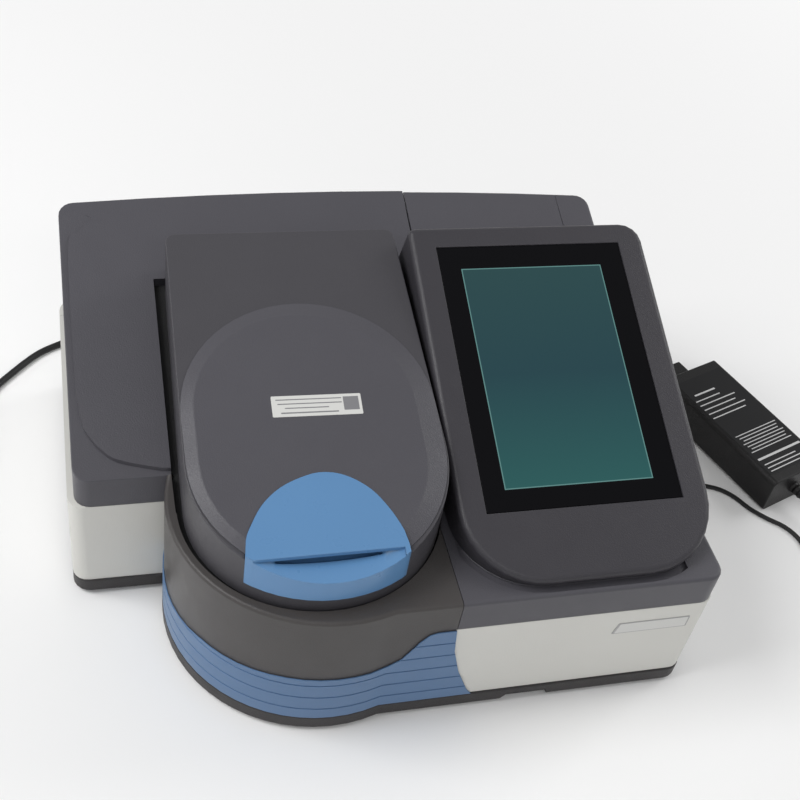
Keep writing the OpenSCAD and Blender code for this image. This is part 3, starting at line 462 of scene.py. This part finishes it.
MATERIAL_OF = {
    "charcoal_plastic": charcoal, "warm_rim_plastic": rim_grey, "light_plastic": pale,
    "blue_plastic": band_blue, "handle_plastic": handle_blue, "dark_gloss_plastic": lid_dark,
    "black_plastic": adapter_black, "rubber_parts": rubber, "steel": steel,
    "black_metal": tub_black, "black_glass": black_glass, "clear_glass": clear_glass,
    "mirror_face": steel, "alloy": alloy, "motor_metal": alloy, "brass_parts": brass,
    "circuit_board": board_green, "screen": screen_lit}


def copy_of(node, name):
    """A clean copy of a CAD node: joined corners and flat faces made whole."""
    src = frame["nodes"][node]
    obj = bpy.data.objects.new(name, src.data.copy())
    bpy.context.scene.collection.objects.link(obj)
    take(obj)
    bpy.ops.object.mode_set(mode="EDIT")
    bpy.ops.mesh.select_all(action="SELECT")
    bpy.ops.mesh.remove_doubles(threshold=0.00001)
    bpy.ops.mesh.dissolve_limited(angle_limit=math.radians(0.6))
    bpy.ops.object.mode_set(mode="OBJECT")
    return obj


def shade(obj, angle):
    """Smooth over the roundings, with flat faces kept flat."""
    take(obj)
    bpy.ops.object.shade_smooth_by_angle(angle=math.radians(angle))
    mod = obj.modifiers.new("flat_faces", "WEIGHTED_NORMAL")
    mod.keep_sharp = True
    bpy.ops.object.modifier_apply(modifier=mod.name)


def round_edges(obj, passes):
    """Rounds edges in turn; a pass is which edges, how wide in mm, and with how many steps."""
    lid_face = obj.name.startswith("lid_face")
    sharp = LID_FACE_SHARP if lid_face else SHARP
    take(obj)
    bpy.ops.object.mode_set(mode="EDIT")
    bpy.ops.mesh.select_mode(type="EDGE")
    for pick, width, steps in passes:
        bpy.ops.mesh.select_all(action="DESELECT")
        bm = bmesh.from_edit_mesh(obj.data)
        found = False
        for edge in bm.edges:
            if len(edge.link_faces) != 2 or edge.calc_face_angle() < sharp:
                continue
            middle = (edge.verts[0].co + edge.verts[1].co) / (2 * MM)
            if pick(middle, [f.normal for f in edge.link_faces]):
                edge.select_set(True)
                found = True
        bmesh.update_edit_mesh(obj.data)
        if found:
            bpy.ops.mesh.bevel(offset=width * MM, segments=steps, affect="EDGES",
                               clamp_overlap=not obj.name.startswith("lid_handle"))
    bpy.ops.object.mode_set(mode="OBJECT")
    shade(obj, LID_FACE_SMOOTH_DEG if lid_face else SMOOTH_DEG)
    return obj


def rear_at(x):
    t = (x - LEFT_X - CORNER_R) / (RIGHT_X - LEFT_X - 2 * CORNER_R)
    return REAR_CORNER_Y + REAR_BOW * 4 * t * (1 - t) * (0 < t < 1)


def inside_block(x, y, x0, x1, y0, y1):
    """How deep a point is inside a block with round corners."""
    qx = max(x0 + CORNER_R - x, x - x1 + CORNER_R)
    qy = max(y0 + CORNER_R - y, y - y1 + CORNER_R)
    return CORNER_R - math.hypot(max(qx, 0), max(qy, 0)) - min(max(qx, qy), 0)


def depth(p):
    """How deep a point is inside the outline of the dark covers."""
    rear = rear_at(p.x)
    return max(inside_block(p.x, p.y, LEFT_X, PAST_RIGHT_X, LEFT_FRONT_Y, rear) if p.x < 0 else OUTSIDE,
               inside_block(p.x, p.y, NOSE_AT[0], RIGHT_X, FRONT_Y, rear),
               NOSE_R - math.hypot(p.x - NOSE_AT[0], p.y - NOSE_AT[1]))


def faces_up(normals):
    return any(n.z > 0.8 for n in normals)


def faces_down(normals):
    return any(n.z < -0.8 for n in normals)


def on_slope(p, rear, tilt):
    """A point in the frame of a sloping face: across it, along it, and out of it."""
    y, z = p.y - rear[0], p.z - rear[1]
    return p.x, y * math.cos(tilt) + z * math.sin(tilt), z * math.cos(tilt) - y * math.sin(tilt)


def ridge(p, normals):
    return faces_up(normals) and depth(p) < OUTLINE_NEAR and p.z > SHELF_Z - RIM_DROP


def foot_line(p, normals):
    return faces_down(normals) and depth(p) < OUTLINE_NEAR


def inner_rim(p, normals):
    seam = p.x > DISPLAY_X or abs(p.x - SEAM_X) < SEAM_NEAR
    return faces_up(normals) and depth(p) > 1.5 and p.z > SHELF_Z - RIM_DROP and not seam


def outer_line(p, normals):
    return depth(p) < OUTLINE_NEAR and (faces_up(normals) or faces_down(normals))


def outer_end(p, normals):
    return depth(p) < OUTLINE_NEAR


def housing_rim(p, normals):
    x, v, out = on_slope(p, HOUSING_REAR, HOUSING_TILT)
    seat = (GLASS_X[0] - 1 < x < GLASS_X[1] + 1) and (GLASS_V[0] - 1 < v < GLASS_V[1] + 1)
    return abs(out) < HEIGHT_NEAR and not seat


def housing_seat(p, normals):
    x, v, out = on_slope(p, HOUSING_REAR, HOUSING_TILT)
    return abs(out) < HEIGHT_NEAR


def lid_rim(p, normals):
    return abs(on_slope(p, LID_REAR, LID_TILT)[2]) < HEIGHT_NEAR


def lid_oval_rim(p, normals):
    return abs(on_slope(p, LID_REAR, LID_TILT)[2] - LID_FACE_H) < HEIGHT_NEAR


def lid_foot(p, normals):
    return faces_down(normals) and p.z < SHELF_Z + LID_FOOT_TOP


def handle_rim(p, normals):
    out = on_slope(p, LID_REAR, LID_TILT)[2]
    return abs(out - HANDLE_OUT) < 0.1


def ledge_edge(p, normals):
    """The bowed front edge of the ledge under the handle's lip."""
    return p.y < LEDGE_Y and faces_up(normals) and p.z > LEDGE_Z


def every(p, normals):
    return True


COVER = [(ridge, 2.4, 4), (inner_rim, 0.8, 3), (foot_line, 0.5, 2)]
ROUNDING = {
    "base_tray": [(outer_line, 0.9, 3)],
    "left_panel": [(outer_end, 0.4, 2)], "right_panel": [(outer_end, 0.4, 2)],
    "rear_panel": [(outer_end, 0.4, 2)], "nose_panel": [(outer_line, 0.3, 2)],
    "left_cover": COVER, "right_cover": COVER, "bay_cover": COVER, "nose_rim": COVER,
    "blue_band": [(outer_end, 0.3, 2)],
    "display_housing": [(housing_rim, 4.0, 5), (housing_seat, 0.5, 2)],
    "touch_glass": [(every, 0.4, 2)],
    "lid_shell": [(lid_rim, 1.8, 4), (lid_foot, 0.5, 2)],
    "lid_face": [(lid_oval_rim, 0.8, 2)],
    "lid_handle": [(handle_rim, 0.5, 3), (ledge_edge, 0.35, 3)]}
for name, width in (("adapter_case", 1.2), ("mains_connector", 1.5), ("lid_knuckles", 0.6),
                    ("hinge_brackets", 0.5), ("sample_deck", 0.5), ("sample_tub", 0.3),
                    ("cuvette_holder", 0.5), ("switch_frame", 0.4), ("power_rocker", 0.4),
                    ("mains_plug", 1.0), ("port_plate", 0.4), ("port_block", 0.2),
                    ("dc_jack", 0.3), ("dc_plug", 0.4), ("rubber_feet", 0.8),
                    ("lamp_house", 0.4), ("monochromator_case", 0.6), ("filter_motor", 0.4),
                    ("grating_motor", 0.4), ("optical_bench", 0.4), ("lid_liner", 0.3),
                    ("lead_relief", 0.2), ("lid_seal", 0.6), ("grating", 0.2)):
    ROUNDING[name] = [(every, width, 2)]
OWN_MATERIAL = {"display_housing": housing_dark, "touch_glass": screen_glass,
                "base_tray": foot_grey}


def smooth_outline(obj, outline, slope):
    """Bows the flat upright sides that stand on an outline into one smooth curve."""
    points = [Vector(p) for p in outline]
    bm = bmesh.new()
    bm.from_mesh(obj.data)
    for i in range(1, len(points) - 2):
        a, b, c, d = points[i - 1:i + 3]
        along = (c - b).normalized()
        side = Vector((along.y, -along.x))
        for step in range(1, BOW_CUTS):
            cut = b.lerp(c, step / BOW_CUTS)
            near = [f for f in bm.faces if abs(f.normal.z) < 0.2 and all(
                abs((v.co.xy / MM - b).dot(side)) < LINE_NEAR
                and -0.1 < (v.co.xy / MM - b).dot(along) < (c - b).length + 0.1 for v in f.verts)]
            geom = set(near)
            for f in near:
                geom.update(f.verts)
                geom.update(f.edges)
            if near:
                bmesh.ops.bisect_plane(bm, geom=list(geom), dist=1e-7, plane_co=(*(cut * MM), 0),
                                       plane_no=(*along, 0))
        for v in bm.verts:
            p = v.co.xy / MM - b
            t = p.dot(along) / (c - b).length
            if abs(p.dot(side)) < LINE_NEAR and 0.02 < t < 0.98:
                move = (between(a, b, c, d, t) - b.lerp(c, t)) * MM
                v.co += Vector((move.x, move.y, move.y * slope))
    bm.to_mesh(obj.data)
    bm.free()


def level_rear(obj):
    """Lets the step round the raised field of the left cover run out towards the rear edge."""
    bm = bmesh.new()
    bm.from_mesh(obj.data)
    for y in FADE_Y:
        bmesh.ops.bisect_plane(bm, geom=bm.verts[:] + bm.edges[:] + bm.faces[:], dist=1e-7,
                               plane_co=(0, y * MM, 0), plane_no=(0, 1, 0))
    for v in bm.verts:
        x, y, z = v.co / MM
        if abs(x - FIELD_END_X) < LINE_NEAR and y > FIELD_REAR_Y and z > SHELF_Z:
            v.co.x = FIELD_END_TO * MM
        lower = SHELF_Z + (y - RAMP_Y) * RAMP - STEP_H
        if y > FADE_Y[0] and abs(z - lower) < 0.1:
            t = min((y - FADE_Y[0]) / (FADE_Y[1] - FADE_Y[0]), 1)
            v.co.z += STEP_H * t * MM
    bmesh.ops.remove_doubles(bm, verts=bm.verts, dist=0.00002)
    bmesh.ops.dissolve_degenerate(bm, edges=bm.edges, dist=0.00002)
    bm.to_mesh(obj.data)
    bm.free()


def finish_of(node):
    return OWN_MATERIAL.get(node, MATERIAL_OF[SLOT_OF[node]])


def dress(node):
    """Puts a rounded copy with its own material in the place of a CAD node."""
    piece = copy_of(node, node + "_finished")
    if node == "lid_handle":
        smooth_outline(piece, ARCH, math.tan(LID_TILT))
    if node == "left_cover":
        smooth_outline(piece, FIELD, RAMP)
        level_rear(piece)
    piece = round_edges(piece, ROUNDING[node])
    finish_piece(piece, BODY_OF[node], SLOT_OF[node], finish_of(node), node)
    return piece


def dress_cad():
    for node, obj in frame["nodes"].items():
        if node in ROUNDING and node not in LEAD_PIECES:
            dress(node)
        elif not obj.hide_render:
            obj.data.materials.clear()
            obj.data.materials.append(finish_of(node))


def sheet_plate(name, at, turn, size, corner):
    """A thin plate: its middle, how it is turned, its three sizes, and its corner radius."""
    deselect()
    bpy.ops.mesh.primitive_cube_add(size=1, location=Vector(at) * MM, rotation=turn.to_euler(),
                                    scale=[s * MM for s in size])
    obj = bpy.context.object
    obj.name = name
    bpy.ops.object.transform_apply(location=True, rotation=True, scale=True)
    out = turn @ Vector((0, 0, 1))
    round_edges(obj, [
        (lambda p, normals: all(abs(n.dot(out)) < 0.1 for n in normals), corner, 5),
        (lambda p, normals: any(n.dot(out) > 0.9 for n in normals), size[2] * 0.4, 2)])
    return obj


def at_lid(u, v, out):
    c, s = math.cos(LID_TILT), math.sin(LID_TILT)
    return (u, LID_REAR[0] + v * c - out * s, LID_REAR[1] + v * s + out * c)


LABEL_AT = (-45.9, -133.5)
LABEL_SIZE = (53.4, 14.2)
LABEL_TURN = math.radians(-1.2)


def lid_label():
    """White label on the lid, with plain grey rules and a grey block in place of its print."""
    turn = Matrix.Rotation(LID_TILT, 3, "X") @ Matrix.Rotation(LABEL_TURN, 3, "Z")
    label = sheet_plate("lid_label", at_lid(*LABEL_AT, LID_FACE_H + 0.05), turn,
                        (*LABEL_SIZE, 0.2), 0.8)
    finish_piece(label, "lid", "light_plastic", label_white)
    # each mark: its middle on the label, its width and its height
    rows = [(-4.6, 4.4, 39, 0.7), (-4.2, 1.5, 38, 0.7), (-6.1, -1.4, 26, 0.7), (-4.6, -4.6, 34, 0.9),
            (20.4, 0.6, 9.2, 9.2)]
    for i, (u, v, w, h) in enumerate(rows):
        c, s = math.cos(LABEL_TURN), math.sin(LABEL_TURN)
        mark = sheet_plate("lid_label_mark_%d" % i, at_lid(
            LABEL_AT[0] + u * c - v * s, LABEL_AT[1] + u * s + v * c, LID_FACE_H + 0.16), turn,
            (w, h, 0.06), 0.2)
        finish_piece(mark, "lid", "light_plastic", print_grey)


PLATE_X = 153
PLATE_Z = 66.8
PLATE_SLANT = 0.25


def slant_left_end(plate):
    """Leans the left end of the plate on the front face."""
    take(plate)
    bpy.ops.object.mode_set(mode="EDIT")
    bm = bmesh.from_edit_mesh(plate.data)
    for vert in bm.verts:
        if vert.co.x < PLATE_X * MM:
            vert.co.x += (vert.co.z - PLATE_Z * MM) * PLATE_SLANT
    bmesh.update_edit_mesh(plate.data)
    bpy.ops.object.mode_set(mode="OBJECT")


def front_plate():
    """Pale plate with a thin grey edge on the right front face; it is left bare."""
    turn = Matrix.Rotation(math.radians(90), 3, "X")
    for name, x, out, size, corner, material in (
            ("front_plate", PLATE_X, 0.15, (49, 10.4, 0.5), 0.8, plate_rim),
            ("front_plate_field", PLATE_X + 0.2, 0.38, (46.6, 9.0, 0.2), 0.6, plate_pale)):
        plate = sheet_plate(name, (x, FRONT_Y - out, PLATE_Z), turn, size, corner)
        slant_left_end(plate)
        finish_piece(plate, "case", "light_plastic", material)


def adapter_label():
    """Plain label field on the adapter with white rules, in place of its print."""
    turn = Matrix.Rotation(ADAPTER_TURN, 3, "Z")
    field = sheet_plate("adapter_label", adapter_point(29, 62, ADAPTER_H + 0.03), turn,
                        (50, 108, 0.16), 1.5)
    finish_piece(field, "case", "black_plastic", label_black)
    # each rule: its middle on the adapter, its width and its height
    rows = [(20, 99, 22, 1.6), (18, 93, 26, 1.0), (24, 88, 38, 1.0), (22, 83, 34, 1.0),
            (25, 78, 40, 1.0), (23, 73, 36, 1.0)]
    rows += [(29, 50 - 3 * k, 44 - 3 * (k % 3), 0.8) for k in range(7)]
    rows += [(29, 24, 46, 2.0), (24, 18, 34, 0.9), (26, 14.5, 38, 0.9), (23, 11, 32, 0.9)]
    for i, (u, v, w, h) in enumerate(rows):
        mark = sheet_plate("adapter_mark_%02d" % i, adapter_point(u, v, ADAPTER_H + 0.13), turn,
                           (w, h, 0.06), 0.3)
        finish_piece(mark, "case", "light_plastic", print_pale)


# The floor's size, and the distances between which it fades to white, in metres
FLOOR_SIZE = 12
FLOOR_FADE = (0.45, 1.5)
# Each lamp: where it stands and its two sizes, in metres, and its power in watts; then the point
# that they aim at, in metres, and the strength of the light from all round
LAMPS = [((-0.3, -1.9, 2.0), (2.2, 0.3), 9), ((-1.5, 0.1, 1.8), (1.2, 1.2), 31),
         ((1.9, 0.4, 1.3), (1.0, 1.0), 12)]
LAMPS_AIM = Vector((0, 0, 0.1))
ROOM_LIGHT = 0.44


def white_to_camera(tree, lit, amount):
    """Lets the camera see white behind the lit surface, or where amount says so."""
    path = tree.nodes.new("ShaderNodeLightPath")
    white = tree.nodes.new("ShaderNodeBackground" if amount is None else "ShaderNodeEmission")
    white.inputs["Color"].default_value = (1, 1, 1, 1)
    mix = tree.nodes.new("ShaderNodeMixShader")
    factor = path.outputs["Is Camera Ray"]
    if amount is not None:
        both = tree.nodes.new("ShaderNodeMath")
        both.operation = "MULTIPLY"
        tree.links.new(factor, both.inputs[0])
        tree.links.new(amount, both.inputs[1])
        factor = both.outputs[0]
    tree.links.new(factor, mix.inputs[0])
    tree.links.new(lit.outputs[0], mix.inputs[1])
    tree.links.new(white.outputs[0], mix.inputs[2])
    end = next(n for n in tree.nodes if n.type in ("OUTPUT_MATERIAL", "OUTPUT_WORLD"))
    tree.links.new(mix.outputs[0], end.inputs["Surface"])


def studio():
    bpy.ops.mesh.primitive_plane_add(size=FLOOR_SIZE, location=(0, 0, 0))
    floor = bpy.context.object
    floor.name = "floor"
    mat, tree, shader, coords = nodes_of("floor_pale")
    shader.inputs["Base Color"].default_value = (0.92, 0.92, 0.92, 1)
    shader.inputs["Roughness"].default_value = 0.9
    floor.data.materials.append(mat)
    reach = tree.nodes.new("ShaderNodeVectorMath")
    reach.operation = "LENGTH"
    tree.links.new(coords.outputs["Object"], reach.inputs[0])
    far = ramp(tree, reach.outputs["Value"], FLOOR_FADE[0], FLOOR_FADE[1], 0, 1)
    white_to_camera(tree, shader, far.outputs["Result"])
    world = bpy.data.worlds.new("studio")
    world.use_nodes = True
    world.node_tree.nodes["Background"].inputs["Color"].default_value = (1, 1, 1, 1)
    world.node_tree.nodes["Background"].inputs["Strength"].default_value = ROOM_LIGHT
    bpy.context.scene.world = world
    white_to_camera(world.node_tree, world.node_tree.nodes["Background"], None)
    for at, size, power in LAMPS:
        light = bpy.data.lights.new("soft_box", "AREA")
        light.shape = "RECTANGLE"
        light.size, light.size_y = size
        light.energy = power
        lamp = bpy.data.objects.new("soft_box", light)
        bpy.context.scene.collection.objects.link(lamp)
        lamp.location = at
        lamp.rotation_euler = (LAMPS_AIM - Vector(at)).to_track_quat("-Z", "Y").to_euler()
    bpy.context.scene.view_settings.view_transform = "Standard"


camera()
leads()
dress_cad()
lid_label()
front_plate()
adapter_label()
studio()
